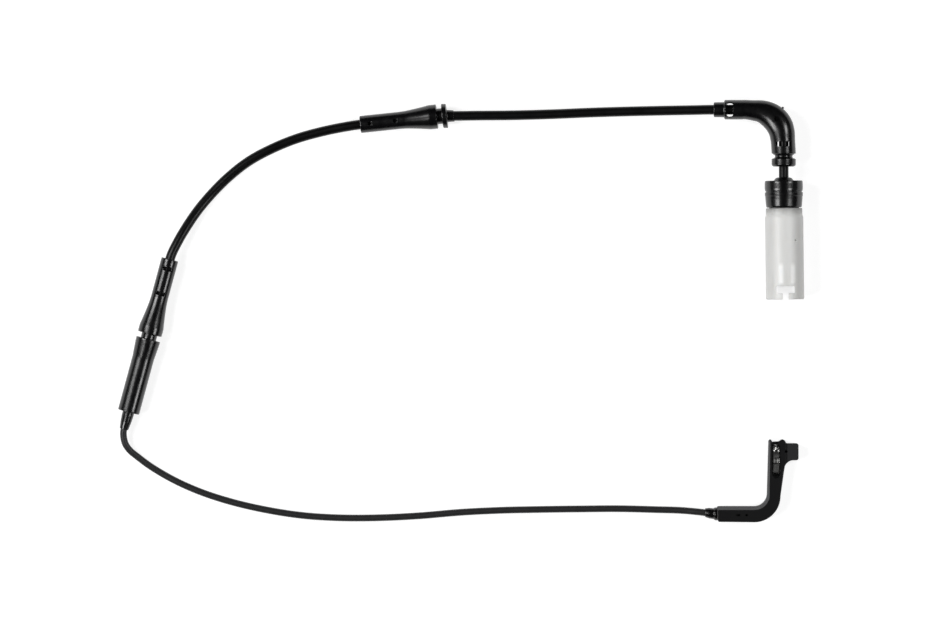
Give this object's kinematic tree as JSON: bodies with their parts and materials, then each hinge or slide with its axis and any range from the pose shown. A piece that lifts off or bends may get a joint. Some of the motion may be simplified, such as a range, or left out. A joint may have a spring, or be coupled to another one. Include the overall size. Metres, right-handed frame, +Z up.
{
  "type": "brake pad wear sensor",
  "caption": "Brake pad wear sensor: a hook-shaped wearing head on a cable that runs through rubber grommets and an elbow to a round two-pole plug.",
  "frame": {"origin": "on the floor under the middle of the box round the rigid pieces, as the sensor lies at rest", "axes": "+X towards the plug along the sensor's longest side, +Y away from the head towards the elbow, +Z up from the floor"},
  "size_m": [0.2744, 0.1688, 0.0153],
  "materials": {
    "natural_nylon": "satin, natural glass filled nylon",
    "carrier_plastic": "matt, moulded",
    "tinned_bronze": "tinned, stamped and turned bronze",
    "lead_insulation_brown": "extruded core insulation",
    "lead_insulation_grey": "extruded core insulation",
    "black_rubber": "moulded, soft sheen",
    "cable_sheath": "extruded, soft sheen",
    "thin_cable_sheath": "extruded, matt",
    "copper": "bare drawn copper wire",
    "head_plastic": "glass filled thermoset, matt",
    "spring_steel": "bright spring steel strip"
  },
  "bodies": {
    "root": {"connector_shell": "natural_nylon", "contact_carrier": "carrier_plastic", "socket_contact_1": "tinned_bronze", "socket_contact_2": "tinned_bronze", "contact_lead_1": "lead_insulation_brown", "contact_lead_2": "lead_insulation_grey", "rear_seal": "black_rubber", "main_cable": "cable_sheath", "elbow_grommet": "black_rubber", "strut_grommet": "black_rubber", "splice_sleeve": "black_rubber", "splice_core_1": "copper", "splice_core_2": "copper", "splice_crimp_1": "tinned_bronze", "splice_crimp_2": "tinned_bronze", "thin_cable": "thin_cable_sheath", "head_boot": "black_rubber", "sensor_head": "head_plastic", "retaining_clip": "spring_steel", "wear_loop": "copper"}
  },
  "joints": []
}
